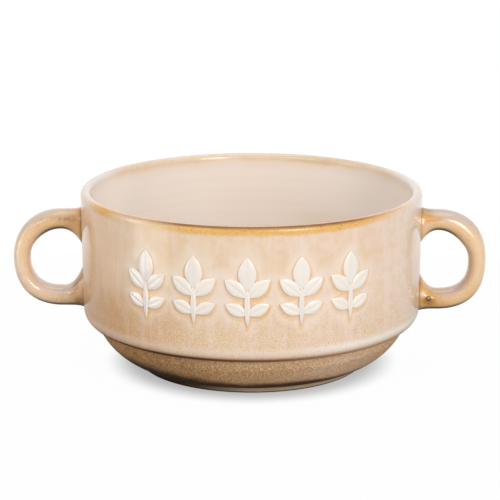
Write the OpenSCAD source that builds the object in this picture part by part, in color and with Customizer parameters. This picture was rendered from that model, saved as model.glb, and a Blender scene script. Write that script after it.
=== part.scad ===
// Two-handled stoneware soup mug: a thrown bowl with a stacking step and a foot ring,
// two round loop handles joined to its sides, and a row of raised leaf sprigs on its front.
// The origin is the middle of the foot on the table, +Z is up, +X runs through the handles
// and the sprigs face -Y.

/* [Bowl] */
// Height from the table to the top of the lip
mug_h = 68.3; // [64:0.1:76]
// Outer diameter at the lip
rim_d = 130; // [118:1:142]
// Thickness of the rounded lip
lip_t = 3.8; // [3:0.1:5]
// Thickness of the wall
wall_t = 4.2; // [3.4:0.1:5]
// How far the wall draws in, on the radius, from the lip down to the shoulder
wall_draw = 0.55; // [0:0.05:2]
// Radius of the round shoulder at the bottom of the wall
shoulder_r = 5; // [3:0.1:6]
// Thickness of the floor
floor_t = 5; // [4:0.1:7]
// Radius of the hollow where the wall turns into the floor
inside_r = 30; // [26:0.5:34]

/* [Stacking step] */
// Height of the underside of the shoulder above the table
step_z = 17.3; // [15:0.1:20]
// How far the step stands in from the wall
step_inset = 6.35; // [6:0.05:8]
// Height of the upright band under the shoulder
band_h = 3.8; // [2:0.1:5]
// How far the lower body swells out from a straight cone
belly_bulge = 1.3; // [0:0.1:2.5]

/* [Foot ring] */
// Outer diameter of the foot ring
foot_d = 86.2; // [76:0.2:96]
// Height of the foot ring
foot_h = 2.5; // [1.5:0.1:4]
// Width of the ring that stands on the table
foot_w = 5; // [4:0.1:8]
// How far the lower body overhangs the foot ring
foot_reveal = 3.3; // [1:0.1:5]
// Depth of the hollow inside the foot ring
foot_recess = 2; // [1:0.1:3]

/* [Handles] */
// Drop from the lip to the centre of the finger hole
handle_drop = 27.3; // [25:0.1:30]
// Distance of the finger hole's centre from the wall
handle_out = 7.4; // [5:0.1:10]
// Diameter of the finger hole
hole_d = 23.4; // [20:0.1:26]
// Thickness of the loop round the hole
loop_t = 6.9; // [5:0.1:9]
// Width of the loop, front to back
loop_w = 11; // [8:0.1:14]
// Radius of the loop's rounded edges
loop_round = 2.5; // [1.5:0.1:3]
// Radius of the fillets where the loop spreads on to the wall
root_fillet = 2.6; // [1.5:0.1:4]

/* [Leaf sprigs] */
// Drop from the lip to the tip of a sprig
sprig_drop = 10.8; // [8:0.1:13]
// How far a sprig stands out from the wall
sprig_relief = 0.9; // [0.5:0.1:1.5]
// Free space between two sprigs, along the wall
sprig_gap = 1.4; // [0.8:0.1:4]
// Length of the stem up to the root of the top leaf
stem_l = 13.4; // [11:0.1:15]
// Width of the stem
stem_w = 1.7; // [1.2:0.1:2.4]
// Length of the top leaf
top_leaf_l = 12.6; // [10:0.1:14]
// Width of the top leaf
top_leaf_w = 6.4; // [4:0.1:8]
// Length of each upper side leaf
side_leaf_l = 10.6; // [8:0.1:12]
// Width of each upper side leaf
side_leaf_w = 5.2; // [3:0.1:6]
// Length of each lower side leaf
low_leaf_l = 9; // [7:0.1:11]
// Width of each lower side leaf
low_leaf_w = 4.6; // [3:0.1:5]

/* [Hidden] */
$fn = 96;

// Flat steps in a quarter of a rounded edge, and along the swell of the lower body
edge_steps = 8;
belly_steps = 12;
hollow_steps = 16;
// Extra reach of a cut or of a piece that a cut trims
overrun = 1;
// Rounding of the foot ring's edges
foot_round = 0.7;
// Tilt of the side leaves from the stem, upper and lower pair
side_leaf_tilt = 50;
low_leaf_tilt = 63;
// Roots of the side leaves along the stem
side_root_share = 0.82;
low_root_share = 0.34;

rim_r = rim_d / 2;
lip_r = lip_t / 2;
lip_z = mug_h - lip_r;
wall_r = rim_r - wall_draw;
wall_z = step_z + shoulder_r;
step_r = wall_r - step_inset;
foot_r = foot_d / 2;
floor_z = foot_recess + floor_t;
hollow_z = floor_z + inside_r;
hollow_r = wall_r_at(hollow_z) - wall_t;

handle_z = mug_h - handle_drop;
handle_x = wall_r_at(handle_z) + handle_out;
loop_r = hole_d / 2 + loop_t;

sprig_z = mug_h - sprig_drop - top_leaf_l - stem_l;
sprig_w = 2 * max(leaf_reach(side_leaf_l, side_leaf_w, side_leaf_tilt),
                  leaf_reach(low_leaf_l, low_leaf_w, low_leaf_tilt), top_leaf_w / 2);
sprig_turn = 2 * asin((sprig_w + sprig_gap) / (2 * wall_r));

// Radius of the outer wall at a height between shoulder and lip
function wall_r_at(z) = wall_r + wall_draw * (z - wall_z) / (lip_z - wall_z);

// How far a leaf of a given size and tilt reaches from the middle of its stem
function leaf_reach(l, w, tilt) = l * sin(tilt) + w * cos(tilt) / 4;

// Points along a round edge with its centre at c
function edge(c, r, from, to, steps = edge_steps) =
    [for (i = [0:steps]) c + r * [cos(from + (to - from) * i / steps), sin(from + (to - from) * i / steps)]];

// Points from a to b along a line that swells to its right by bulge
function swell(a, b, bulge) =
    let (d = b - a, out = [d[1], -d[0]] / norm(d))
    [for (i = [0:belly_steps]) let (t = i / belly_steps) a + t * d + 4 * bulge * t * (1 - t) * out];

// Outside of the bowl from the foot ring up to the lip
function outer_points() = concat(
    edge([foot_r - foot_round, foot_round], foot_round, -90, 0),
    [[foot_r, foot_h]],
    swell([foot_r + foot_reveal, foot_h], [step_r, step_z - band_h], belly_bulge),
    [[step_r, step_z]],
    edge([wall_r - shoulder_r, step_z + shoulder_r], shoulder_r, -90, 0),
    edge([rim_r - lip_r, lip_z], lip_r, 0, 90));

// Inside of the bowl from the lip down to the middle of the floor, then the hollow of the foot
function inner_points() = concat(
    edge([rim_r - lip_r, lip_z], lip_r, 90, 180),
    edge([hollow_r - inside_r, hollow_z], inside_r, 0, -90, hollow_steps),
    [[0, floor_z], [0, foot_recess], [foot_r - foot_w - foot_recess, foot_recess]],
    edge([foot_r - foot_w + foot_round, foot_round], foot_round, 180, 270));

// The bowl's outside as a filled solid, which the handles are fitted to
module bowl_envelope() {
    rotate_extrude()
        polygon(concat([[0, 0]], outer_points(), [[0, mug_h]]));
}

module bowl() {
    color("#e2cbb0")
        rotate_extrude()
            polygon(concat(outer_points(), inner_points()));
}

// A flat disc of the loop's outer size with rounded edges, from the axis outwards
module loop_section() {
    edge_c = [loop_r - loop_round, loop_w / 2 - loop_round];
    polygon(concat([[0, -loop_w / 2]],
                   edge([edge_c[0], -edge_c[1]], loop_round, -90, 0),
                   edge(edge_c, loop_round, 0, 90),
                   [[0, loop_w / 2]]));
}

// The finger hole with both mouths rounded
module hole_section() {
    mouth = hole_d / 2 + loop_round;
    mouth_y = loop_w / 2 - loop_round;
    polygon(concat([[0, -loop_w / 2 - overrun], [mouth, -loop_w / 2 - overrun]],
                   edge([mouth, -mouth_y], loop_round, 270, 180),
                   edge([mouth, mouth_y], loop_round, 180, 90),
                   [[mouth, loop_w / 2 + overrun], [0, loop_w / 2 + overrun]]));
}

// Corner between the wall and the loop's edge, hollowed to a fillet
module root_corner(reach) {
    difference() {
        translate([-reach, -root_fillet])
            square([reach + root_fillet, 2 * root_fillet]);
        translate([root_fillet, root_fillet])
            circle(r = root_fillet);
    }
}

// One loop handle on the +X side, fitted to the wall
module handle() {
    reach = handle_out + shoulder_r;
    difference() {
        translate([handle_x, 0, handle_z])
            rotate([90, 0, 0])
                difference() {
                    union() {
                        rotate_extrude(angle = 180, start = -90)
                            loop_section();
                        rotate([0, -90, 0])
                            linear_extrude(reach)
                                rotate([0, 0, 90]) {
                                    loop_section();
                                    mirror([1, 0, 0])
                                        loop_section();
                                }
                        for (up = [0, 1])
                            mirror([0, up, 0])
                                translate([-handle_out, loop_r, loop_round - loop_w / 2])
                                    linear_extrude(loop_w - 2 * loop_round)
                                        root_corner(shoulder_r);
                    }
                    rotate_extrude()
                        hole_section();
                }
        bowl_envelope();
    }
}

module handle_right() {
    color("#e0be92")
        handle();
}

module handle_left() {
    color("#e0be92")
        mirror([1, 0, 0])
            handle();
}

// A pointed leaf growing up from its root at the origin
module leaf(l, w) {
    r = (l * l + w * w) / (4 * w);
    translate([0, l / 2])
        intersection() {
            translate([r - w / 2, 0])
                circle(r = r);
            translate([w / 2 - r, 0])
                circle(r = r);
        }
}

// Flat outline of a sprig: a stem, a top leaf and two pairs of side leaves
module sprig_outline() {
    translate([-stem_w / 2, 0])
        square([stem_w, stem_l + stem_w]);
    translate([0, stem_l])
        leaf(top_leaf_l, top_leaf_w);
    for (side = [-1, 1]) {
        translate([0, stem_l * side_root_share])
            rotate(side * side_leaf_tilt)
                leaf(side_leaf_l, side_leaf_w);
        translate([0, stem_l * low_root_share])
            rotate(side * low_leaf_tilt)
                leaf(low_leaf_l, low_leaf_w);
    }
}

// Skin on the outer wall, as thick as the sprigs stand out
module wall_skin() {
    rotate_extrude()
        polygon([[wall_r_at(wall_z), wall_z], [wall_r_at(wall_z) + sprig_relief, wall_z],
                 [wall_r_at(lip_z) + sprig_relief, lip_z], [wall_r_at(lip_z), lip_z]]);
}

// A sprig on the wall, counted from the middle of the row
module sprig(place) {
    color("#f2eadd")
        rotate([0, 0, place * sprig_turn])
            intersection() {
                wall_skin();
                translate([0, 0, sprig_z])
                    rotate([90, 0, 0])
                        linear_extrude(rim_r + sprig_relief + overrun)
                            sprig_outline();
            }
}

module sprig_1() { sprig(-2); }
module sprig_2() { sprig(-1); }
module sprig_3() { sprig(0); }
module sprig_4() { sprig(1); }
module sprig_5() { sprig(2); }

bowl();
handle_left();
handle_right();
sprig_1();
sprig_2();
sprig_3();
sprig_4();
sprig_5();
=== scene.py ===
import math
import bmesh
import bpy
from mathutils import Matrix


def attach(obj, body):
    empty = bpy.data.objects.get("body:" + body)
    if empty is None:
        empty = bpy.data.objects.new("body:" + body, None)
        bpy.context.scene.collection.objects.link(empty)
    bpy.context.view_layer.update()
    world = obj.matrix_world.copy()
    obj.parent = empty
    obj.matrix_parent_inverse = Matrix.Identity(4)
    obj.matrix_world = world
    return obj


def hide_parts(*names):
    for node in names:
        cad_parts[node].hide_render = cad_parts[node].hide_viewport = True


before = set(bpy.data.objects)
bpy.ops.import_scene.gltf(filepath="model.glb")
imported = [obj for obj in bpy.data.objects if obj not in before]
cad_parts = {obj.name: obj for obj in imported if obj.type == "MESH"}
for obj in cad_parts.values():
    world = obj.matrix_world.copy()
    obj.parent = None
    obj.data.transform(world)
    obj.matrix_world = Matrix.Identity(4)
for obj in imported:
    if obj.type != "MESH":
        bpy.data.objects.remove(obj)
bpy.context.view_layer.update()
mm = 0.001
print("frame loaded:", sorted(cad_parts))


# small helpers for building node trees

def plug(tree, socket, value):
    if isinstance(value, Flow):
        tree.links.new(value.socket, socket)
    else:
        socket.default_value = value


def put(tree, kind, ins=None, **props):
    node = tree.nodes.new(kind)
    for name, value in props.items():
        setattr(node, name, value)
    for key, value in (ins or {}).items():
        plug(tree, node.inputs[key], value)
    return node


def flowOf(tree, kind, ins=None, out=0, **props):
    # a new node of which one output is wanted
    return Flow(tree, put(tree, kind, ins, **props).outputs[out])


class Flow:
    # a node output that takes plain arithmetic, so a tree reads like a formula
    def __init__(self, tree, socket):
        self.tree = tree
        self.socket = socket

    def calc(self, operation, other=0.0, third=0.0):
        return flowOf(self.tree, "ShaderNodeMath", {0: self, 1: other, 2: third}, operation=operation)

    def __add__(self, other):
        return self.calc("ADD", other)

    def __sub__(self, other):
        return self.calc("SUBTRACT", other)

    def __mul__(self, other):
        return self.calc("MULTIPLY", other)

    def __truediv__(self, other):
        return self.calc("DIVIDE", other)

    def __neg__(self):
        return self * -1.0

    def __radd__(self, other):
        return self + other

    def __rsub__(self, other):
        return -self + other

    def size(self):
        return self.calc("ABSOLUTE")

    def atLeast(self, other):
        return self.calc("MAXIMUM", other)

    def atMost(self, other):
        return self.calc("MINIMUM", other)

    def power(self, other):
        return self.calc("POWER", other)

    def bulged(self, power):
        # keeps the sign, so a cosine turns from a circle into a rounded rectangle
        return self.calc("SIGN") * self.size().power(power)

    def bell(self, width):
        # 1 at zero, falling to nothing a few widths away
        return ((self / width).power(2.0) * -1.0).calc("EXPONENT")

    def ramp(self, low, high, start=0.0, end=1.0):
        # goes smoothly from start at low to end at high; low may be the larger one
        return flowOf(self.tree, "ShaderNodeMapRange", {0: self, 1: low, 2: high, 3: start, 4: end},
                      interpolation_type="SMOOTHSTEP")


def splitXyz(tree, vector):
    node = put(tree, "ShaderNodeSeparateXYZ", {0: vector})
    return [Flow(tree, out) for out in node.outputs]


def joinXyz(tree, x, y, z):
    return flowOf(tree, "ShaderNodeCombineXYZ", {0: x, 1: y, 2: z})


def noiseOf(tree, vector, scale, detail=2.0, roughness=0.5):
    return flowOf(tree, "ShaderNodeTexNoise", {
        "Vector": vector, "Scale": scale, "Detail": detail, "Roughness": roughness})


# helpers for shapes that Geometry Nodes make

socketKinds = {
    "lengths": "Float", "values": "Float", "counts": "Int", "objects": "Object", "glazes": "Material",
}


def shapeTree(name, **sockets):
    # an empty Geometry Nodes tree with named inputs, listed by kind, and one mesh output
    tree = bpy.data.node_groups.new(name, "GeometryNodeTree")
    for kind, labels in sockets.items():
        for label in labels:
            socket = tree.interface.new_socket(
                name=label, in_out="INPUT", socket_type="NodeSocket" + socketKinds[kind])
            if kind == "lengths":
                socket.subtype = "DISTANCE"
    tree.interface.new_socket(name="Mesh", in_out="OUTPUT", socket_type="NodeSocketGeometry")
    source = tree.nodes.new("NodeGroupInput")
    return tree, {out.name: Flow(tree, out) for out in source.outputs if out.name}


def finishTree(tree, mesh, glazes):
    # every tree ends with smooth faces, real geometry and glazes on the faces chosen for them
    done = flowOf(tree, "GeometryNodeSetShadeSmooth", {"Geometry": mesh})
    done = flowOf(tree, "GeometryNodeRealizeInstances", {0: done})
    for glaze, chosen in glazes:
        done = flowOf(tree, "GeometryNodeSetMaterial", {
            "Geometry": done, "Selection": chosen, "Material": glaze})
    put(tree, "NodeGroupOutput", {0: done})
    return tree


def positionOf(tree):
    return flowOf(tree, "GeometryNodeInputPosition")


def gridOf(tree, across, along):
    # a flat grid whose two places, each 0 to 1, drive a surface
    grid = flowOf(tree, "GeometryNodeMeshGrid", {
        "Size X": 1.0, "Size Y": 1.0, "Vertices X": across, "Vertices Y": along}, "Mesh")
    x, y, _ = splitXyz(tree, positionOf(tree))
    return grid, x + 0.5, y + 0.5


def moveTo(tree, mesh, position):
    return flowOf(tree, "GeometryNodeSetPosition", {"Geometry": mesh, "Position": position})


def weld(tree, mesh, distance):
    return flowOf(tree, "GeometryNodeMergeByDistance", {"Geometry": mesh, "Distance": distance})


def keepValue(tree, mesh, name, value):
    return flowOf(tree, "GeometryNodeStoreNamedAttribute", {
        "Geometry": mesh, "Name": name, "Value": value})


def readValue(tree, name):
    return flowOf(tree, "GeometryNodeInputNamedAttribute", {"Name": name}, "Attribute", data_type="FLOAT")


def shapeOf(tree, source):
    return flowOf(tree, "GeometryNodeObjectInfo", {"Object": source}, "Geometry",
                  transform_space="ORIGINAL")


def bareObject(name, mesh=None):
    obj = bpy.data.objects.new(name, mesh or bpy.data.meshes.new(name))
    bpy.context.scene.collection.objects.link(obj)
    return obj


def joinedCopy(name, objects):
    # one throwaway object that holds several meshes, for measuring distances
    bm = bmesh.new()
    for obj in objects:
        bm.from_mesh(obj.data)
    mesh = bpy.data.meshes.new(name)
    bm.to_mesh(mesh)
    bm.free()
    return bareObject(name, mesh)


def clearAway(obj):
    mesh = obj.data
    bpy.data.objects.remove(obj)
    bpy.data.meshes.remove(mesh)


def grow(name, tree, sizes):
    # runs a tree on an empty object and keeps the result as a plain closed mesh; "Hole Radius" is
    # read from sizes["holeRadius"], and lengths there are in millimetres
    obj = bareObject(name)
    modifier = obj.modifiers.new("shape", "NODES")
    modifier.node_group = tree
    for item in tree.interface.items_tree:
        if item.in_out == "INPUT":
            size = sizes[item.name[0].lower() + item.name[1:].replace(" ", "")]
            isLength = getattr(item, "subtype", "") == "DISTANCE"
            modifier[item.identifier] = size * mm if isLength else size
    depsgraph = bpy.context.evaluated_depsgraph_get()
    mesh = bpy.data.meshes.new_from_object(
        obj.evaluated_get(depsgraph), preserve_all_data_layers=True, depsgraph=depsgraph)
    obj.modifiers.clear()
    obj.data = mesh
    mesh.name = name
    if mesh.materials[0] is None:
        mesh.materials.pop(index=0)  # the grid's own empty slot
    bm = bmesh.new()
    bm.from_mesh(mesh)
    openEdges = [edge for edge in bm.edges if edge.is_boundary]
    if openEdges:
        bmesh.ops.holes_fill(bm, edges=openEdges)
    if bm.calc_volume(signed=True) < 0:
        bmesh.ops.reverse_faces(bm, faces=bm.faces)
    bm.to_mesh(mesh)
    print(name, "faces", len(bm.faces), "open edges", sum(edge.is_boundary for edge in bm.edges))
    bm.free()
    return obj


# the bowl in millimetres, its noise and throwing rings per metre and arcTurn in radians; of the
# solid's sizes only the foot ring's height differs, by 0.5
bowlSizes = {
    "height": 68.3, "rimRadius": 65.0, "lipThickness": 3.8, "wallThickness": 4.2,
    "wallRadius": 64.45, "shoulderRadius": 5.0, "stepHeight": 17.3, "stepRadius": 58.1,
    "bandHeight": 3.8, "bellyBulge": 1.3, "bellySteps": 14,
    "footRadius": 43.1, "footHeight": 3.0, "footReveal": 3.3, "footWidth": 5.0,
    "footRecess": 2.0, "floorThickness": 5.0, "insideRadius": 30.0,
    "softEdge": 0.7, "creaseRound": 0.5, "bandRound": 2.4,
    "outerStep": 1.1, "innerStep": 2.6, "arcStep": 0.9, "arcTurn": 0.2, "segments": 320, "weld": 0.004,
    "wobble": 0.22, "wobbleScale": 22.0, "wobbleFrom": 30.0, "wobbleFull": 50.0,
    "throwRing": 0.035, "throwPitch": 900.0, "ringsFadeIn": 4.0, "ringsFadeOut": 5.0,
}
wallFoot = bowlSizes["stepHeight"] + bowlSizes["shoulderRadius"]
lipHeight = bowlSizes["height"] - bowlSizes["lipThickness"] / 2
wallDraw = bowlSizes["rimRadius"] - bowlSizes["wallRadius"]


def roundedPath(corners, step):
    # a line through (radius, height, rounding) corners, with arcs there and even steps between
    finest = min(step, bowlSizes["arcStep"])
    ends = []
    for i, (x, y, rounding) in enumerate(corners):
        if rounding == 0 or i in (0, len(corners) - 1):
            ends.append([(x, y)])
            continue
        ax, ay = corners[i - 1][0] - x, corners[i - 1][1] - y
        bx, by = corners[i + 1][0] - x, corners[i + 1][1] - y
        la, lb = math.hypot(ax, ay), math.hypot(bx, by)
        ax, ay, bx, by = ax / la, ay / la, bx / lb, by / lb
        half = math.acos(max(-1.0, min(1.0, ax * bx + ay * by))) / 2
        reach = min(rounding / math.tan(half), 0.98 * la, 0.98 * lb)  # never quite a whole side
        radius = reach * math.tan(half)
        mx, my = ax + bx, ay + by
        lm = math.hypot(mx, my)
        cx, cy = x + mx / lm * radius / math.sin(half), y + my / lm * radius / math.sin(half)
        startAngle = math.atan2(y + ay * reach - cy, x + ax * reach - cx)
        turn = math.atan2(y + by * reach - cy, x + bx * reach - cx) - startAngle
        turn = (turn + math.pi) % (2 * math.pi) - math.pi
        count = max(4, round(abs(turn) * radius / finest), round(abs(turn) / bowlSizes["arcTurn"]))
        arc = [startAngle + turn * k / count for k in range(count + 1)]
        ends.append([(cx + radius * math.cos(a), cy + radius * math.sin(a)) for a in arc])
    path = []
    for group in ends:
        if path:
            (x0, y0), (x1, y1) = path[-1], group[0]
            parts = max(1, math.ceil(math.hypot(x1 - x0, y1 - y0) / step))
            shares = [k / parts for k in range(1, parts)]
            path += [(x0 + (x1 - x0) * share, y0 + (y1 - y0) * share) for share in shares]
        path += group if not path or math.dist(path[-1], group[0]) > 1e-6 else group[1:]
    return path


def bowlProfile(s):
    # the bowl's half section from the middle of its underside, up the outside and down the inside
    recess, footRing = s["footRecess"], s["footRadius"] - s["footWidth"]
    bellyLow = (s["footRadius"] + s["footReveal"], s["footHeight"])
    bellyHigh = (s["stepRadius"], s["stepHeight"] - s["bandHeight"])
    dx, dy = bellyHigh[0] - bellyLow[0], bellyHigh[1] - bellyLow[1]
    length = math.hypot(dx, dy)
    belly = []
    for k in range(1, s["bellySteps"]):
        t = k / s["bellySteps"]
        swell = 4 * s["bellyBulge"] * t * (1 - t) / length
        belly.append((bellyLow[0] + t * dx + swell * dy, bellyLow[1] + t * dy - swell * dx, 0))
    lip = s["lipThickness"] / 2
    lipRound = lip * 0.999  # a hair under the full rounding, so the two arcs stay apart
    floor = recess + s["floorThickness"]
    innerRadius = s["wallRadius"] - s["wallThickness"]
    outside = [
        (0, recess, 0), (footRing - recess, recess, s["softEdge"]), (footRing, 0, s["softEdge"]),
        (s["footRadius"], 0, s["softEdge"]), (s["footRadius"], s["footHeight"], s["creaseRound"]),
        (*bellyLow, s["softEdge"]), *belly, (*bellyHigh, s["bandRound"]),
        (s["stepRadius"], s["stepHeight"], s["creaseRound"]),
        (s["wallRadius"], s["stepHeight"], s["shoulderRadius"]),
        (s["rimRadius"], s["height"], lipRound), (s["rimRadius"] - lip, s["height"], 0)]
    inside = [
        (s["rimRadius"] - lip, s["height"], 0), (s["rimRadius"] - 2 * lip, s["height"], lipRound),
        (innerRadius, floor, s["insideRadius"]), (0, floor, 0)]
    outer = roundedPath(outside, s["outerStep"])
    inner = roundedPath(inside, s["innerStep"])[1:]
    mesh = bpy.data.meshes.new("bowlProfile")
    points = [(x * mm, 0.0, y * mm) for x, y in outer + inner]
    mesh.from_pydata(points, [(i, i + 1) for i in range(len(points) - 1)], [])
    flag = mesh.attributes.new("inside", "FLOAT", "POINT")
    flag.data.foreach_set("value", [0.0] * len(outer) + [1.0] * len(inner))
    print("bowl profile points", len(points))
    return bareObject("bowlProfile", mesh)


def bowlTree():
    # turns the half section round the axis, with the faint unevenness of a thrown pot
    tree, ask = shapeTree(
        "turnedBowl", objects=["Profile", "Relief", "Loops"], counts=["Segments"],
        values=["Wobble", "Wobble Scale", "Throw Ring", "Throw Pitch"],
        lengths=["Foot Glaze Top"], glazes=["Glaze", "Foot Glaze"])
    section = shapeOf(tree, ask["Profile"])
    count = flowOf(tree, "GeometryNodeAttributeDomainSize", {0: section}, "Point Count")
    grid, around, along = gridOf(tree, ask["Segments"] + 1.0, count)
    index = (along * (count - 1.0)).calc("ROUND")

    def sampled(kind, value):
        return flowOf(tree, "GeometryNodeSampleIndex", {
            "Geometry": section, "Index": index, "Value": value}, data_type=kind, domain="POINT")

    radius, _, height = splitXyz(tree, sampled("FLOAT_VECTOR", positionOf(tree)))
    inside = sampled("FLOAT", readValue(tree, "inside"))
    angle = around * math.tau
    cosine, sine = angle.calc("COSINE"), angle.calc("SINE")
    even = joinXyz(tree, radius * cosine, radius * sine, height)
    lump = (noiseOf(tree, even, ask["Wobble Scale"], 1.0) - 0.5) * ask["Wobble"]
    rings = (height * ask["Throw Pitch"] + angle).calc("SINE") * ask["Throw Ring"]
    onWall = height.ramp(wallFoot * mm, (wallFoot + bowlSizes["ringsFadeIn"]) * mm)
    onWall = onWall * height.ramp(lipHeight * mm, (lipHeight - bowlSizes["ringsFadeOut"]) * mm)
    awayFromAxis = radius.ramp(bowlSizes["wobbleFrom"] * mm, bowlSizes["wobbleFull"] * mm)
    spread = radius + (lump * awayFromAxis + rings * onWall) * mm
    mesh = keepValue(tree, grid, "inside", inside)  # stored before the grid's places are lost
    mesh = moveTo(tree, mesh, joinXyz(tree, spread * cosine, spread * sine, height))
    mesh = weld(tree, mesh, bowlSizes["weld"] * mm)
    # how far each point is from the sprigs, from what there is of them just above it, and from the loops
    x, y, z = splitXyz(tree, positionOf(tree))
    gaps = [("Relief", "sprigGap", 0.0), ("Relief", "sprigDrip", 0.9), ("Loops", "loopGap", 0.0)]
    for label, name, lift in gaps:
        near = flowOf(tree, "GeometryNodeProximity", {
            "Geometry": shapeOf(tree, ask[label]),
            "Sample Position": joinXyz(tree, x, y, z + lift * mm)}, "Distance", target_element="FACES")
        mesh = keepValue(tree, mesh, name, near / mm)
    outside = (0.5 - readValue(tree, "inside")).calc("SIGN").atLeast(0.0)
    low = (ask["Foot Glaze Top"] - z).calc("SIGN").atLeast(0.0) * outside
    return finishTree(tree, mesh, [(ask["Glaze"], True), (ask["Foot Glaze"], low)])


# the loop handles, in millimetres; each side has its own small lean, as hand-joined loops have
loopSizes = {
    "width": 11.0, "centreHeight": 41.0, "boxiness": 0.94, "armShare": 0.24,
    "rings": 180, "sides": 56, "weld": 0.002, "sink": 0.9,
    "flareLength": 1.5, "flareOut": 1.7, "flareSide": 2.2, "filletLength": 4.0,
    "left": {
        "centre": -72.9, "lift": -0.55, "holeRadius": 11.4, "thickness": 7.5, "filletTop": 4.6,
        "filletLow": 7.6, "endThin": 0.3, "holeWide": 0.8, "lowBulge": 0.7, "highSwell": 0.35},
    "right": {
        "centre": 71.4, "lift": -0.6, "holeRadius": 11.7, "thickness": 7.75, "filletTop": 4.3,
        "filletLow": 5.7, "endThin": 1.05, "holeWide": 0.1, "lowBulge": 1.0, "highSwell": 0.7},
}


def wallRadiusAt(tree, height):
    # outside radius of the bowl at a height, shoulder included, in metres as the tree's lengths are
    rounding = bowlSizes["shoulderRadius"] * mm
    dip = (wallFoot * mm - height).atLeast(0.0).atMost(rounding * 0.97)  # not down to the edge
    curve = (rounding ** 2 - dip * dip).calc("SQRT")
    taper = (height - wallFoot * mm).atLeast(0.0) * (wallDraw / (lipHeight - wallFoot))
    return curve + taper + (bowlSizes["wallRadius"] * mm - rounding)


def loopTree():
    # sweeps a rounded section along a D-shaped path and spreads its two roots on to the wall
    tree, ask = shapeTree(
        "loopHandle",
        lengths=["Centre", "Lift", "Hole Radius", "Thickness", "Width", "Centre Height", "Sink",
                 "Flare Length", "Flare Out", "Flare Side", "Fillet Length", "Fillet Top", "Fillet Low",
                 "End Thin", "Hole Wide", "Low Bulge", "High Swell"],
        values=["Boxiness", "Arm Share"], counts=["Rings", "Sides"], glazes=["Glaze"])
    grid, along, around = gridOf(tree, ask["Rings"], ask["Sides"] + 1.0)
    arm = ask["Arm Share"]
    upper = ((arm - along) / arm).atLeast(0.0)
    lower = ((along - (1.0 - arm)) / arm).atLeast(0.0)
    toWall = upper + lower
    turn = ((along - arm) / (1.0 - arm * 2.0)).atLeast(0.0).atMost(1.0)
    angle = math.pi / 2 - turn * math.pi
    side, centre = ask["Centre"].calc("SIGN"), ask["Centre"].size()
    reach = centre - wallRadiusAt(tree, ask["Centre Height"])
    clear = (toWall - 1.0) * reach
    flare = (clear / ask["Flare Length"]).calc("EXPONENT")
    fillet = (clear / ask["Fillet Length"]).calc("EXPONENT")
    fillet = fillet * (upper.calc("SIGN") * ask["Fillet Top"] + lower.calc("SIGN") * ask["Fillet Low"])
    fillet = fillet * toWall.ramp(0.0, 1.0)
    farEnd = angle.calc("COSINE").power(2.0)  # a little thinner where it is furthest out
    corner = (angle * 2.0).calc("SINE")  # sags out at the lower bend, fuller at the upper one
    sag = (corner * -1.0).atLeast(0.0).power(2.0) * ask["Low Bulge"]
    full = corner.atLeast(0.0).power(2.0) * ask["High Swell"]
    outer = ask["Hole Radius"] + ask["Thickness"] + flare * ask["Flare Out"] + sag + full
    outer = outer - farEnd * ask["End Thin"]
    offset = toWall * reach
    inner = (ask["Hole Radius"].power(2.0) - offset * offset).calc("SQRT") - fillet
    inner = inner + sag - full * 0.8 + farEnd * ask["Hole Wide"]
    phase = around * math.tau
    across = phase.calc("COSINE").bulged(ask["Boxiness"])
    deep = phase.calc("SINE").bulged(ask["Boxiness"])
    ring = (outer + inner) / 2.0 + (outer - inner) / 2.0 * across
    y = (ask["Width"] + flare * ask["Flare Side"]) / 2.0 * deep
    z = ring * angle.calc("SINE") + ask["Centre Height"] + ask["Lift"]
    seat = wallRadiusAt(tree, z) - ask["Sink"]
    seatX = (seat * seat - y * y).calc("SQRT") - centre
    x = ring * angle.calc("COSINE") + toWall * seatX + centre
    mesh = keepValue(tree, grid, "root", flare)
    mesh = moveTo(tree, mesh, joinXyz(tree, x * side, y, z))
    mesh = weld(tree, mesh, loopSizes["weld"] * mm)
    return finishTree(tree, mesh, [(ask["Glaze"], True)])


# the raised sprigs in millimetres: leaves as (root height, tilt in degrees, length, width) on a stem
sprigSizes = {
    "baseHeight": 31.5, "relief": 1.0, "pitch": 17.23, "count": 5,  # the pitch is in degrees
    "ribDepth": 0.3, "ribWidth": 0.13, "sideRound": 0.75, "topRound": 0.55, "tipRound": 0.4,
    "rows": 44, "sides": 40,
    "weld": 0.0005, "sink": 0.5,  # as shares of a leaf's length and relief
    "leaves": [
        (0.0, 0, 15.2, 2.2), (13.3, 0, 12.7, 6.6), (11.0, 50, 10.6, 5.4), (11.0, -50, 10.6, 5.4),
        (4.6, 63, 9.0, 4.8), (4.6, -63, 9.0, 4.8)],
}


def sprigLayout(s):
    # one point for each leaf, carrying its tilt and size
    mesh = bpy.data.meshes.new("sprigLayout")
    mesh.from_pydata([(0.0, 0.0, leaf[0] * mm) for leaf in s["leaves"]], [], [])
    for name, column, unit in (("tilt", 1, math.pi / 180), ("leafLength", 2, mm), ("leafWidth", 3, mm)):
        values = mesh.attributes.new(name, "FLOAT", "POINT")
        values.data.foreach_set("value", [leaf[column] * unit for leaf in s["leaves"]])
    return bareObject("sprigLayout", mesh)


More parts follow.
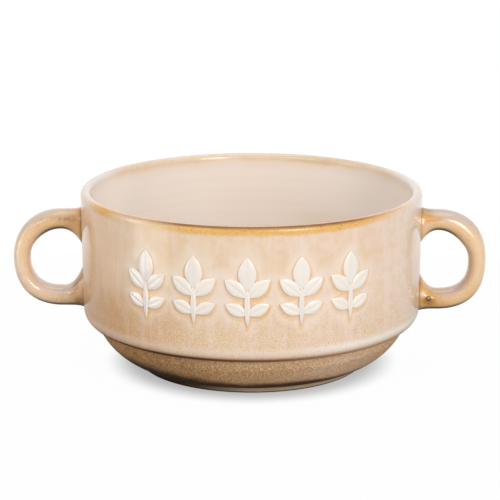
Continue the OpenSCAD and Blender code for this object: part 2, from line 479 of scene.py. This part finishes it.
def sprigTree():
    # puts a pillowed leaf on each point of the layout and wraps the sprig round the wall
    tree, ask = shapeTree(
        "leafSprig", objects=["Layout"], lengths=["Base Height", "Relief"],
        values=["Turn", "Rib Depth", "Rib Width", "Side Round", "Top Round", "Tip Round"],
        counts=["Rows", "Sides"], glazes=["Glaze"])
    grid, along, around = gridOf(tree, ask["Rows"], ask["Sides"] + 1.0)
    phase = around * math.tau
    across = phase.calc("COSINE").bulged(ask["Side Round"])
    up = phase.calc("SINE").bulged(ask["Top Round"])
    swell = along * (1.0 - along) * 4.0
    rib = across.bell(ask["Rib Width"]) * ask["Rib Depth"]
    crown = swell.atLeast(0.0).power(ask["Tip Round"]) * (1.0 - rib)
    rise = up.atLeast(0.0) * crown + up.atMost(0.0) * sprigSizes["sink"]
    leaf = keepValue(tree, grid, "rise", rise)
    leaf = moveTo(tree, leaf, joinXyz(tree, swell * across * 0.5, rise, along))
    leaf = weld(tree, leaf, sprigSizes["weld"])
    points = flowOf(tree, "GeometryNodeMeshToPoints", {0: shapeOf(tree, ask["Layout"])})
    turned = joinXyz(tree, 0.0, readValue(tree, "tilt"), 0.0)
    size = joinXyz(tree, readValue(tree, "leafWidth"), ask["Relief"], readValue(tree, "leafLength"))
    leaves = flowOf(tree, "GeometryNodeInstanceOnPoints", {
        "Points": points, "Instance": leaf, "Scale": size,
        "Rotation": flowOf(tree, "FunctionNodeEulerToRotation", {0: turned})})
    flat = flowOf(tree, "GeometryNodeRealizeInstances", {0: leaves})
    x, y, z = splitXyz(tree, positionOf(tree))
    height = z + ask["Base Height"]
    wall = wallRadiusAt(tree, height)
    angle = x / wall + ask["Turn"]
    stand = wall + y
    wrapped = joinXyz(tree, stand * angle.calc("SINE"), stand * angle.calc("COSINE") * -1.0, height)
    return finishTree(tree, moveTo(tree, flat, wrapped), [(ask["Glaze"], True)])


# glaze colours as they look in plain light
glazeColours = {
    "cream": "#edd3b1", "peach": "#e6c6a0", "rose": "#efd8c8", "blush": "#f3c49c",
    "milk": "#f5ebe0", "mist": "#e4dddc", "fleck": "#f3e2ca", "inside": "#e9e0d8",
    "biscuit": "#efcda9", "honey": "#e5ba80", "amber": "#e9b05b", "gold": "#e9b94f",
    "straw": "#cfb084", "clay": "#c0b195", "dusk": "#c9b5a6", "tan": "#cf9e6a",
    "brown": "#b98d5b", "chestnut": "#8c5820", "ember": "#743a00", "rust": "#6e3f0c",
    "umber": "#5c3c1e", "cinder": "#4c2800", "soot": "#241507",
}


def paint(name):
    # a written colour as the linear values that shaders take
    code = glazeColours[name]
    parts = [int(code[k:k + 2], 16) / 255 for k in (1, 3, 5)]
    linear = [c / 12.92 if c <= 0.04045 else ((c + 0.055) / 1.055) ** 2.4 for c in parts]
    return (*linear, 1.0)


def blendPaint(tree, amount, under, over):
    # colours are given by name or as what another node puts out
    under, over = [paint(colour) if isinstance(colour, str) else colour for colour in (under, over)]
    return flowOf(tree, "ShaderNodeMix", {0: amount, 6: under, 7: over}, 2, data_type="RGBA")


class Coats:
    # a colour built up coat by coat, each brushed over the ones before it
    def __init__(self, tree, first):
        self.tree = tree
        self.colour = first

    def brush(self, amount, over):
        self.colour = blendPaint(self.tree, amount, self.colour, over)


def glazeGrainGroup():
    # what a melted glaze does everywhere: clouds, runs down the wall, sandy crystals, orange peel
    tree = bpy.data.node_groups.new("glazeGrain", "ShaderNodeTree")
    ins = {"Place": "Vector", "Cloud Scale": "Float", "Run Scale": "Float", "Run Stretch": "Float",
           "Sand Scale": "Float"}
    for label, kind in ins.items():
        tree.interface.new_socket(name=label, in_out="INPUT", socket_type="NodeSocket" + kind)
    source = tree.nodes.new("NodeGroupInput")
    given = [Flow(tree, source.outputs[name]) for name in ins]
    place, cloudScale, runScale, runStretch, sandScale = given
    x, y, z = splitXyz(tree, place)
    stretched = joinXyz(tree, x, y, z * runStretch)
    fine = joinXyz(tree, x, y, z * runStretch * 1.5)
    outs = {
        "Cloud": noiseOf(tree, place, cloudScale, 3.0, 0.55).ramp(0.3, 0.7),
        "Runs": noiseOf(tree, stretched, runScale, 3.0, 0.55).ramp(0.3, 0.7),
        "Streaks": noiseOf(tree, fine, runScale * 2.6, 2.0, 0.6).ramp(0.45, 0.7),
        "Mottle": noiseOf(tree, place, cloudScale * 7.0, 3.0, 0.6).ramp(0.38, 0.66),
        "Sand": noiseOf(tree, place, sandScale, 1.0).ramp(0.5, 0.64),
        "Specks": noiseOf(tree, place, sandScale * 0.8 + 77.0, 1.0).ramp(0.56, 0.7),
        "Grain": noiseOf(tree, place, 1500.0, 2.0, 0.7),
        "Peel": noiseOf(tree, place, 420.0, 2.0),
    }
    for label in outs:
        tree.interface.new_socket(name=label, in_out="OUTPUT", socket_type="NodeSocketFloat")
    put(tree, "NodeGroupOutput", outs)
    return tree


# each glaze's gloss and the depth of its orange peel, and how fine its grain is
glazeFinish = {
    "bowlGlaze": {"shine": 0.42, "coat": 0.18, "peel": 0.22, "grain": {
        "Cloud Scale": 38.0, "Run Scale": 95.0, "Run Stretch": 0.1, "Sand Scale": 2300.0}},
    "bodyGlaze": {"shine": 0.03, "coat": 0.0, "peel": 0.3, "grain": {
        "Cloud Scale": 55.0, "Run Scale": 95.0, "Run Stretch": 0.5, "Sand Scale": 2200.0}},
    "loopGlaze": {"shine": 0.5, "coat": 0.25, "peel": 0.1, "grain": {
        "Cloud Scale": 60.0, "Run Scale": 130.0, "Run Stretch": 0.4, "Sand Scale": 1900.0}},
    "sprigGlaze": {"shine": 0.5, "coat": 0.25, "peel": 0.22, "grain": {
        "Cloud Scale": 90.0, "Run Scale": 130.0, "Run Stretch": 0.4, "Sand Scale": 1900.0}},
}
glassIor, coatRoughness, peelDepth = 1.5, 0.05, 0.00012


class Glaze:
    # a melted glaze with its grain; finish links what varies over it
    def __init__(self, name, grainGroup):
        self.settings = glazeFinish[name]
        self.material = bpy.data.materials.new(name)
        self.material.use_nodes = True
        self.tree = self.material.node_tree
        self.shader = self.tree.nodes["Principled BSDF"]
        constants = {"IOR": glassIor, "Specular IOR Level": self.settings["shine"],
                     "Coat Weight": self.settings["coat"], "Coat Roughness": coatRoughness}
        for socket, value in constants.items():
            self.shader.inputs[socket].default_value = value
        self.place = flowOf(self.tree, "ShaderNodeTexCoord", out="Object")
        group = put(self.tree, "ShaderNodeGroup", {"Place": self.place, **self.settings["grain"]},
                    node_tree=grainGroup)
        self.grain = {out.name: Flow(self.tree, out) for out in group.outputs}

    def attribute(self, name):
        return flowOf(self.tree, "ShaderNodeAttribute", out="Fac", attribute_name=name)

    def finish(self, height, varying):
        varying["Normal"] = flowOf(self.tree, "ShaderNodeBump", {
            "Strength": self.settings["peel"], "Distance": peelDepth, "Height": height})
        for socket, value in varying.items():
            plug(self.tree, self.shader.inputs[socket], value)
        return self.material


# where the bowl's glaze, its painted highlights and its painted shade change, as heights and radii in
# millimetres
bowlBands = {
    "creaseTop": 20.3, "creaseFull": 18.5, "bodyTop": 18.8, "creaseLow": 16.9, "creaseDone": 17.8,
    "shoulderShine": 21.8, "bandShine": 16.0, "bellyPale": 8.7,
    "darkLeft": 13.6, "darkRight": 7.2, "fadeLeft": 6.5, "fadeRight": 2.6,
    "groove": 3.6, "footTop": 3.1, "footFull": 2.5, "sandTop": 52.0, "sandFull": 27.0,
    "lipBand": 64.3, "lipFull": 66.5, "lipLineRadius": 64.05,
}


def aroundBowl(tree, place):
    # height and radius in millimetres, and how far right and front a point lies, each -1 to 1
    x, y, z = splitXyz(tree, place)
    radius = (x * x + y * y).calc("SQRT") / mm
    reach = radius.atLeast(1.0) * mm
    return z / mm, radius, x / reach, y / reach * -1.0


def creaseGlazeAndShade(tree, right):
    # the glaze that gathers in the crease, darkened as painted shade, most on the left
    coat = Coats(tree, "chestnut")
    coat.brush(right.ramp(-0.1, 0.7) * 0.65, "tan")
    coat.brush(right.ramp(0.1, 0.6) * 0.2, "dusk")
    coat.brush(right.ramp(0.0, -0.5) * 0.7, "ember")
    coat.brush(right.ramp(0.0, -0.5) * 0.5, "soot")
    return coat.colour


def bowlGlaze(grainGroup):
    glaze, band = Glaze("bowlGlaze", grainGroup), bowlBands
    tree, grain = glaze.tree, glaze.grain
    height, radius, right, front = aroundBowl(tree, glaze.place)
    cloud, runs, mottle, streaks = [grain[name] for name in ("Cloud", "Runs", "Mottle", "Streaks")]
    uneven = height + (cloud - 0.5) * 5.0
    ragged = height + (cloud - 0.5) * 1.5
    inside = glaze.attribute("inside")
    sideways = right.size()
    # the wall: cream near the lip, warmer and more broken towards the shoulder, with upright runs
    coat = Coats(tree, "cream")
    coat.brush(uneven.ramp(60.0, 30.0) * 0.8, "peach")
    # rose runs, lighter towards the right as a painted reflection, and two upright painted reflection
    # bands
    runsAndPaintedSheen = (runs * 0.4 + 0.25) * right.ramp(-0.75, 0.3) + right.ramp(0.1, 0.5) * 0.3
    paintedReflectionBands = (right - 0.5).bell(0.25) * 0.5 + (right + 0.65).bell(0.12) * 0.35
    coat.brush(runsAndPaintedSheen + paintedReflectionBands * uneven.ramp(42.0, 56.0), "rose")
    coat.brush(cloud * uneven.ramp(46.0, 58.0) * 0.3, "honey")
    coat.brush(mottle * 0.6, "peach")
    coat.brush(streaks * 0.62, "rose")
    coat.brush(right.ramp(-0.65, -0.9) * 0.6, "blush")
    # painted highlight: rose along the wall's side edges beside the loops
    paintedHighlightByLoops = sideways.ramp(0.85, 0.95) * (height - loopSizes["centreHeight"]).bell(9.0)
    coat.brush(paintedHighlightByLoops * 0.45, "rose")
    # browner towards the shoulder, and browner still on the left as painted shade
    clearOfLeftShade = (right + (cloud - 0.5) * 0.25).ramp(-1.0, -0.5)
    brown = (1.0 - clearOfLeftShade) * uneven.ramp(64.0, 24.0) * 0.42 + uneven.ramp(48.0, 26.0) * 0.16
    brown = brown + right.ramp(-0.1, -0.75) * uneven.ramp(52.0, 27.0) * 0.68
    coat.brush(brown * (1.25 - runs * 0.3 - streaks * 0.2), "tan")
    # painted highlight: a pale band along the shoulder, whiter on the right
    shine = (height - band["shoulderShine"]).bell(1.5) * right.ramp(-0.6, 0.5, 0.4, 1.0)
    coat.brush(shine, blendPaint(tree, right.ramp(0.2, 0.6), "rose", "milk"))
    sandy = height.ramp(band["sandTop"], band["sandFull"])
    coat.brush(grain["Specks"] * sandy * 0.36, "brown")
    coat.brush(grain["Sand"] * sandy * right.ramp(-0.9, -0.2, 0.25, 0.5), "fleck")
    # glaze gathers in the crease under the shoulder, darkened further as painted shade
    creasePoolAndShade = height.ramp(band["creaseTop"], band["creaseFull"])
    coat.brush(creasePoolAndShade, creaseGlazeAndShade(tree, right))
    # pale round the relief, amber where the glaze hangs under it
    sprigGap = glaze.attribute("sprigGap") + (cloud - 0.5) * 1.6
    coat.brush(sprigGap.ramp(5.0, 0.4) * 0.4, "milk")
    drip = glaze.attribute("sprigDrip").ramp(1.3, 0.2) * (cloud * 0.5 + 0.2)
    coat.brush(drip, "amber")
    # a painted reflection of the loops, pale rose round their lower roots, and a brown line where they
    # meet the wall
    loopGap = glaze.attribute("loopGap")
    paintedRootReflection = loopGap.ramp(11.0, 1.0) * height.ramp(38.0, 31.0) * (cloud * 0.6 + 0.4)
    coat.brush(paintedRootReflection, "rose")
    deeper = height.ramp(44.0, 50.0) * right.ramp(0.2, -0.2, -0.2, 0.25)
    coat.brush(loopGap.ramp(0.9, 0.1) * (runs * 0.3 + 0.3 + deeper), "rust")
    # the inside, with a warm edge under the lip, painted light and shade on its right, and painted
    # highlights at its far sides
    lining = Coats(tree, "inside")
    lining.brush(cloud * 0.2, "rose")
    thrown = ((height + cloud * 1.6) * 1.3).calc("SINE").ramp(0.1, 1.0) * height.ramp(14.0, 24.0)
    lining.brush(thrown * 0.08 + (right + 0.05).bell(0.45) * 0.1, "peach")
    paintedLightRight = right.ramp(0.2, 0.7) * height.ramp(66.0, 60.0) * height.ramp(38.0, 50.0)
    lining.brush(paintedLightRight * 0.55, "milk")
    paintedShadeLowRight = right.ramp(0.1, 0.5) * height.ramp(50.0, 40.0) * height.ramp(14.0, 26.0)
    lining.brush(paintedShadeLowRight * 0.28, "peach")
    paintedHighlightSides = sideways.ramp(0.75, 0.93) * height.ramp(67.6, 66.0) * height.ramp(44.0, 54.0)
    lining.brush(paintedHighlightSides * 0.65, "milk")
    edge = ragged.ramp(63.0, 66.5) * height.ramp(68.2, 67.4)
    lining.brush(edge * 0.34, "honey")
    coat.brush(inside, lining.colour)
    crest = height.ramp(67.6, 68.1) * (front.ramp(-0.2, 0.6) * 0.55 + 0.15)
    coat.brush(crest, "blush")
    # the back of the lip is thinner glazed, straw yellow, most of all on its right
    backLip = front.ramp(-0.3, -0.6) * ragged.ramp(65.2, 67.2)
    coat.brush(backLip * ((right - 0.45).bell(0.25) * 0.25 + 0.28 + mottle * 0.15), "straw")
    # painted reflection: a grey-white mist on the lip's two ends
    ends = sideways.ramp(0.84, 0.97) * height.ramp(62.0, 67.0)
    coat.brush(ends * 0.6, "mist")
    # the lip: amber where the glaze runs off it, in a long patch and a short one, and a rusty line
    worn = right.ramp(-0.6, -0.3) * right.ramp(0.92, 0.6) * 0.8 + (right + 0.83).bell(0.07) * 0.85
    worn = worn * front.ramp(0.1, 0.5) + 0.14
    amber = height + (runs - 0.5) * 0.7 - right.ramp(0.45, 0.85) * 1.3
    amber = amber.ramp(band["lipBand"], band["lipFull"]) * radius.ramp(63.0, 63.9)
    amber = amber * (1.0 - inside) * worn
    coat.brush(amber, blendPaint(tree, mottle * 0.6, "amber", "gold"))
    coat.brush(amber * grain["Specks"] * 0.5, "chestnut")
    line = (radius - band["lipLineRadius"]).bell(0.62) * height.ramp(66.8, 67.3) * front.ramp(0.3, 0.8)
    line = line * (right.ramp(-0.6, -0.35) * right.ramp(0.8, 0.5) * 0.6 + 0.4)
    coat.brush(line * (runs * 0.15 + 0.85), "ember")
    rough = (grain["Grain"] - 0.5) * 0.12 + 0.17 + creasePoolAndShade * 0.3 + amber * 0.12 + paintedHighlightByLoops * 0.16
    gloss = glaze.settings["coat"]
    return glaze.finish(grain["Peel"] * 0.6 + grain["Grain"] * 0.25, {
        "Base Color": coat.colour, "Roughness": rough,
        "Coat Weight": gloss - creasePoolAndShade.atLeast(line) * gloss})


def bodyGlaze(grainGroup):
    # below the step: thinner, satin glaze over brown clay, and a bare foot ring
    glaze, band = Glaze("bodyGlaze", grainGroup), bowlBands
    tree, grain = glaze.tree, glaze.grain
    height, radius, right, _ = aroundBowl(tree, glaze.place)
    cloud, mottle = grain["Cloud"], grain["Mottle"]
    uneven = height + (cloud - 0.5) * 3.0
    coat = Coats(tree, "brown")
    # painted light and shade: lighter low down against the belly's shade, paler on the right, a painted
    # highlight at mid belly and under the crease, browner on the left
    coat.brush(uneven.ramp(14.0, 6.0) * 0.7, "tan")
    coat.brush(right.ramp(-0.1, 0.7) * 0.2 + (right - 0.6).bell(0.2) * 0.15, "rose")
    coat.brush((height - band["bellyPale"]).bell(2.5) * right.ramp(-0.1, 0.4) * 0.2, "peach")
    coat.brush(right.ramp(0.0, -0.5) * 0.5, "chestnut")
    coat.brush((height - band["bandShine"]).bell(1.0) * right.ramp(-0.6, 0.0, 0.2, 0.6), "peach")
    patchy = right.size().ramp(0.05, 0.6, 0.4, 1.0)
    coat.brush(mottle * patchy * 0.2, "rust")
    coat.brush((1.0 - mottle) * patchy * 0.25, "tan")
    coat.brush(grain["Specks"] * 0.5, "umber")
    coat.brush(grain["Sand"] * right.ramp(-0.8, 0.0, 0.2, 0.5), "fleck")
    # painted shade: darkest near the foot, more so on the left, and in the crease and the groove
    darkTop = right.ramp(-0.9, 0.1, band["darkLeft"], band["darkRight"]) + (cloud - 0.5) * 1.5
    fade = right.ramp(-0.9, 0.1, band["fadeLeft"], band["fadeRight"])
    paintedShade = ((darkTop - height) / fade).ramp(0.0, 1.0)
    paintedShade = paintedShade.atLeast((height - band["groove"]).bell(0.8)) * 0.97
    coat.brush(paintedShade, blendPaint(tree, right.ramp(-0.6, 0.0), "soot", "cinder"))
    coat.brush(height.ramp(band["creaseLow"], band["creaseDone"]), creaseGlazeAndShade(tree, right))
    foot = height.ramp(band["footTop"], band["footFull"])
    footEdgeShade = radius.ramp(42.0, 42.8)
    ring = Coats(tree, "clay")
    ring.brush(cloud * 0.25 + grain["Specks"] * 0.3, "brown")
    # painted shade: the foot ring darker on its left, and a painted contact shadow along its bottom edge
    ring.brush(footEdgeShade * right.ramp(0.1, -0.5) * 0.85, "umber")
    ring.brush(footEdgeShade * right.ramp(-0.3, -0.7) * 0.7, "soot")
    coat.brush(foot * (1.0 - footEdgeShade * height.ramp(0.8, 0.3)), ring.colour)
    return glaze.finish(grain["Peel"] * 0.5 + grain["Sand"] * 0.4, {
        "Base Color": coat.colour, "Roughness": (grain["Grain"] - 0.5) * 0.2 + 0.4 + foot * 0.35})


# marks in the loops' glaze, in millimetres: one dark pool with a pinhole, and a pale spot beside it
loopMarks = {
    "holeCentre": 72.1, "inwardPerMm": 0.085,
    "pinhole": (67.99, -5.56, 26.16), "pinholeRing": 0.72, "pinholeWidth": 0.46,
    "poolReach": 3.9, "poolFull": 1.8, "paleSpot": (66.0, -6.2, 28.0), "paleReach": 1.9, "paleFull": 0.5,
}


def distanceTo(place, spot):
    dx, dy, dz = [(along - at).power(2.0) for along, at in zip(place, spot)]
    return (dx + dy + dz).calc("SQRT")


def loopGlaze(grainGroup):
    glaze, mark = Glaze("loopGlaze", grainGroup), loopMarks
    tree, grain = glaze.tree, glaze.grain
    nx, _, nz = splitXyz(tree, flowOf(tree, "ShaderNodeNewGeometry", out="Normal"))
    x, y, z = splitXyz(tree, glaze.place)
    height, out = z / mm, x.size() / mm
    cloud, runs, mottle, specks = [grain[name] for name in ("Cloud", "Runs", "Mottle", "Specks")]
    rise = height - loopSizes["centreHeight"]
    onRight, high = x.ramp(-0.01, 0.01), rise.ramp(-2.0, 2.0)
    onLeft, low = 1.0 - onRight, 1.0 - high
    leftLow, rightHigh = onLeft * low, onRight * high
    # honey on the upper arm and less on the lower one, paler between, greyer on top where a reflection is
    # painted
    warm = rise.ramp(5.0, 15.0) * (0.65 - onRight * 0.25)
    warm = warm + rise.ramp(-5.0, -15.0) * (0.35 + onRight * 0.3)
    coat = Coats(tree, "biscuit")
    coat.brush(warm + (1.0 - cloud) * 0.3, "honey")
    coat.brush(mottle * 0.3, "honey")
    coat.brush(grain["Sand"] * 0.25, "fleck")
    # amber and foxing spread out along the left upper arm and the right lower one
    marked = (onLeft * high + onRight * low) * out.ramp(80.0, 67.0) * (0.7 + mottle * 0.5)
    coat.brush(marked * (0.42 + onRight * 0.35), "amber")
    coat.brush(marked * onRight * 0.3, "brown")
    foxed = specks * (rise.ramp(6.0, 12.0) * nz.ramp(0.1, 0.5)).atLeast(marked)
    coat.brush(foxed * 0.5, "brown")
    coat.brush(leftLow * 0.15, "mist")
    spotted = leftLow * out.ramp(79.0, 67.0) * mottle
    coat.brush(spotted * 0.5, "amber")
    coat.brush(spotted * (specks * 0.5 + 0.06), "chestnut")
    coat.brush(leftLow * out.ramp(68.8, 66.8) * 0.6, "amber")
    # painted reflection: what looks up is greyer, and rosy inside the hole
    inward = (nx * x.calc("SIGN") * (out - mark["holeCentre"]) + nz * rise) * -mark["inwardPerMm"]
    paintedTopReflection = nz.ramp(0.15, 0.78)
    calm = 1.0 - marked * 0.75
    coat.brush(paintedTopReflection * (onRight * 0.2 + 0.75) * calm, "dusk")
    coat.brush(paintedTopReflection * inward.ramp(0.2, 0.7) * (0.7 - onRight * 0.5) * calm, "rose")
    # brown dabs along the upper arms' front edge, fainter behind
    wander = (mottle - 0.5) * 0.12 + (runs - 0.5) * 0.4
    dabs = (nz - 0.5 + wander).bell(0.2) * high * (84.0 - onRight * 9.0 - out).ramp(0.0, 5.0)
    dabs = dabs * (runs * 0.6 + 0.2) * (mottle * 0.8 + 0.2) * y.ramp(-0.002, 0.002, 1.0, 0.4)
    coat.brush(dabs, "ember")
    # amber pools at the roots
    root = glaze.attribute("root")
    rootAmber = high * 0.35 - onRight * (high * 0.6 - 0.25) + 0.35
    nearRoot = root.ramp(0.01, 0.35)
    coat.brush(nearRoot * (1.0 - rootAmber) * 0.7, "rose")
    coat.brush(nearRoot * rootAmber * (cloud * 0.4 + 0.8), "amber")
    # painted shade browns the corner over the left lower root and under it; browner glaze on top of the
    # right upper one
    coat.brush(leftLow * out.ramp(70.5, 66.5) * nz.ramp(0.1, 0.6) * 0.7, "chestnut")
    coat.brush(leftLow * out.ramp(69.0, 66.3) * nz.ramp(0.0, -0.5) * 0.65, "chestnut")
    coat.brush(rightHigh * out.ramp(73.5, 68.0) * (nz - 0.5).bell(0.3) * 0.95, "amber")
    coat.brush(rightHigh * out.ramp(71.0, 66.8) * nz.ramp(0.45, 0.85) * 0.85, "brown")
    # a brown line along each joint, and painted shade along every edge that looks down
    jointDepth = high * 0.5 - onRight * (high * 0.75 - 0.25) + 0.4
    jointDepth = jointDepth * y.ramp(-0.002, 0.004, 1.0, 0.5)
    under = nz.ramp(-0.45, -0.86).atLeast((root - 0.6).bell(0.22) * jointDepth)
    coat.brush(under, blendPaint(tree, nz.ramp(-0.62, -0.95), "rust", "soot"))
    # the pool, where the glaze boiled by the right lower root
    place = (x / mm, y / mm, height)
    fromHole = distanceTo(place, mark["pinhole"])
    pool = fromHole.ramp(mark["poolReach"], mark["poolFull"])
    below = (height - mark["pinhole"][2]).ramp(0.8, -1.2)
    coat.brush(pool * 0.95, "amber")
    coat.brush(pool * (below * 0.55 + 0.08 + specks * 0.4).atMost(1.0), "chestnut")
    pale = distanceTo(place, mark["paleSpot"]).ramp(mark["paleReach"], mark["paleFull"])
    coat.brush(pale * 0.8, "fleck")
    hole = (fromHole - mark["pinholeRing"]).bell(mark["pinholeWidth"])
    coat.brush(hole, "cinder")
    dull, gloss = under.atLeast(hole), glaze.settings["coat"]
    return glaze.finish(grain["Peel"] * 0.6 + grain["Grain"] * 0.25, {
        "Base Color": coat.colour, "Roughness": (grain["Grain"] - 0.5) * 0.1 + 0.14 + dull * 0.3,
        "Coat Weight": gloss - dull * gloss})


def sprigGlaze(grainGroup):
    # milk white, with honey where it runs thin at the leaves' edges
    glaze = Glaze("sprigGlaze", grainGroup)
    grain, cloud = glaze.grain, glaze.grain["Cloud"]
    coat = Coats(glaze.tree, "milk")
    coat.brush(cloud * 0.4, "inside")
    coat.brush(glaze.attribute("rise").ramp(0.6, 0.1) * (cloud * 0.5 + 0.2), "honey")
    return glaze.finish(grain["Peel"] * 0.6 + grain["Grain"] * 0.25, {
        "Base Color": coat.colour, "Roughness": (grain["Grain"] - 0.5) * 0.1 + 0.16})


grainGroup = glazeGrainGroup()
sprigPaint, loopPaint = sprigGlaze(grainGroup), loopGlaze(grainGroup)
bowlPaint, bodyPaint = bowlGlaze(grainGroup), bodyGlaze(grainGroup)
print("glazes ready")

# build the pieces: relief first, then the loops, then the bowl that their glaze pools against
layout = sprigLayout(sprigSizes)
leafTree = sprigTree()
sprigs = []
for k in range(sprigSizes["count"]):
    turn = (k - (sprigSizes["count"] - 1) / 2) * sprigSizes["pitch"]
    own = {"layout": layout, "turn": math.radians(turn), "glaze": sprigPaint}
    sprigs.append(grow("leafSprig%d" % (k + 1), leafTree, {**sprigSizes, **own}))
clearAway(layout)

handleTree = loopTree()
loops = {}
for side in ("left", "right"):
    loops[side] = grow(side + "Loop", handleTree, {**loopSizes, **loopSizes[side], "glaze": loopPaint})

section = bowlProfile(bowlSizes)
reliefCopy = joinedCopy("reliefCopy", sprigs)
loopCopy = joinedCopy("loopCopy", loops.values())
bowl = grow("mugBowl", bowlTree(), {
    **bowlSizes, "profile": section, "relief": reliefCopy, "loops": loopCopy,
    "glaze": bowlPaint, "footGlaze": bodyPaint, "footGlazeTop": bowlBands["bodyTop"]})
for helper in (section, reliefCopy, loopCopy):
    clearAway(helper)

# every piece rides on the one rigid body and stands for its solid
for k, sprig in enumerate(sprigs):
    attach(sprig, "root")
    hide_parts("sprig_%d" % (k + 1))
for side, loop in loops.items():
    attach(loop, "root")
    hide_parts("handle_" + side)
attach(bowl, "root")
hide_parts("bowl")
print("pieces placed")

# a pale floor that fades to white, plain soft light and the photograph's camera
studio = {
    "floorRadius": 0.2, "floorTint": (0.55, 0.55, 0.55, 1.0), "floorGlow": 0.98,
    "shadowGlow": 0.42, "glowFrom": 0.044, "glowTo": 0.058, "fadeFrom": 0.09, "fadeTo": 0.19,
    "world": 0.37, "aimHeight": 0.04,
    # name, azimuth from the front to the right, distance, height, width, tallness, power, what shows it
    "lamps": [
        ("keySoftbox", 31, 1.2, 0.55, 0.45, 0.8, 9.9, "all"),
        ("leftStrip", -80, 0.9, 0.3, 0.2, 0.8, 1.55, "all"),
        ("leftFill", -40, 1.3, 0.9, 0.6, 0.6, 3.8, "all"),
        ("topSheet", 170, 0.3, 1.2, 0.9, 0.9, 3.5, "all"),
        ("backFill", 195, 1.3, 0.6, 0.8, 0.8, 4.0, "diffuse"),
        ("softCard", -67, 0.9, -0.05, 0.42, 0.4, 1.15, "gloss"),
    ],
}
seenRays = ["Is Camera Ray", "Is Glossy Ray", "Is Transmission Ray"]  # these see a white background


def raysOf(tree):
    node = put(tree, "ShaderNodeLightPath")
    return [Flow(tree, node.outputs[name]) for name in seenRays]


def makeFloor():
    bm = bmesh.new()
    bmesh.ops.create_circle(bm, cap_ends=True, segments=96, radius=studio["floorRadius"])
    mesh = bpy.data.meshes.new("floor")
    bm.to_mesh(mesh)
    bm.free()
    material = bpy.data.materials.new("paleFloor")
    material.use_nodes = True
    tree = material.node_tree
    tree.nodes.remove(tree.nodes["Principled BSDF"])
    x, y, _ = splitXyz(tree, flowOf(tree, "ShaderNodeTexCoord", out="Object"))
    distance = (x * x + y * y).calc("SQRT")
    away = distance.ramp(studio["fadeFrom"], studio["fadeTo"])
    near = distance.ramp(studio["glowFrom"], studio["glowTo"], studio["shadowGlow"], studio["floorGlow"])
    camera, glossy, through = raysOf(tree)
    seen = camera * away.atLeast(near) + glossy.atLeast(through) * away
    matte = flowOf(tree, "ShaderNodeBsdfDiffuse", {"Color": studio["floorTint"]})
    white = flowOf(tree, "ShaderNodeEmission", {"Strength": 1.0})
    mix = flowOf(tree, "ShaderNodeMixShader", {0: seen.atMost(1.0), 1: matte, 2: white})
    plug(tree, tree.nodes["Material Output"].inputs["Surface"], mix)
    mesh.materials.append(material)
    bareObject("floor", mesh)


def makeWorld():
    world = bpy.data.worlds.new("studioWorld")
    world.use_nodes = True
    bpy.context.scene.world = world
    tree = world.node_tree
    shade = tree.nodes["Background"]
    shade.inputs["Color"].default_value = (1.0, 1.0, 1.0, 1.0)
    camera, glossy, through = raysOf(tree)
    seen = camera.atLeast(glossy).atLeast(through)
    plug(tree, shade.inputs["Strength"], seen * (1.0 - studio["world"]) + studio["world"])


def makeLamps():
    for name, azimuth, distance, height, width, tall, power, shownBy in studio["lamps"]:
        lamp = bpy.data.lights.new(name, "AREA")
        lamp.shape = "RECTANGLE"
        lamp.size, lamp.size_y = width, tall
        lamp.energy = power
        obj = bpy.data.objects.new(name, lamp)
        obj.visible_diffuse = shownBy != "gloss"
        obj.visible_glossy = shownBy != "diffuse"
        bpy.context.scene.collection.objects.link(obj)
        swing = math.radians(azimuth)
        drop = math.atan2(height - studio["aimHeight"], distance)
        obj.location = (distance * math.sin(swing), -distance * math.cos(swing), height)
        obj.rotation_euler = (math.pi / 2 - drop, 0.0, swing)


# the camera, fitted to the lip's and the foot's ellipses; metres and degrees, the sensor in millimetres
cameraSetup = {
    "focalPixels": 2090.7, "framePixels": 500, "sensor": 36.0, "distance": 0.7778, "height": 0.2439,
    "tiltDown": 14.448, "azimuth": 1.3, "aimLeft": 0.038, "nearest": 0.05,
}


def makeCamera(c):
    data = bpy.data.cameras.new("photoCamera")
    data.sensor_width = c["sensor"]
    data.lens = c["focalPixels"] * c["sensor"] / c["framePixels"]
    data.clip_start = c["nearest"]
    obj = bpy.data.objects.new("photoCamera", data)
    bpy.context.scene.collection.objects.link(obj)
    swing = math.radians(c["azimuth"])
    obj.location = (c["distance"] * math.sin(swing), -c["distance"] * math.cos(swing), c["height"])
    turn = math.radians(c["azimuth"] + c["aimLeft"])
    obj.rotation_euler = (math.radians(90 - c["tiltDown"]), 0.0, turn)
    bpy.context.scene.camera = obj


makeFloor()
makeWorld()
makeLamps()
makeCamera(cameraSetup)
bpy.context.scene.view_settings.view_transform = "Standard"
print("studio ready")
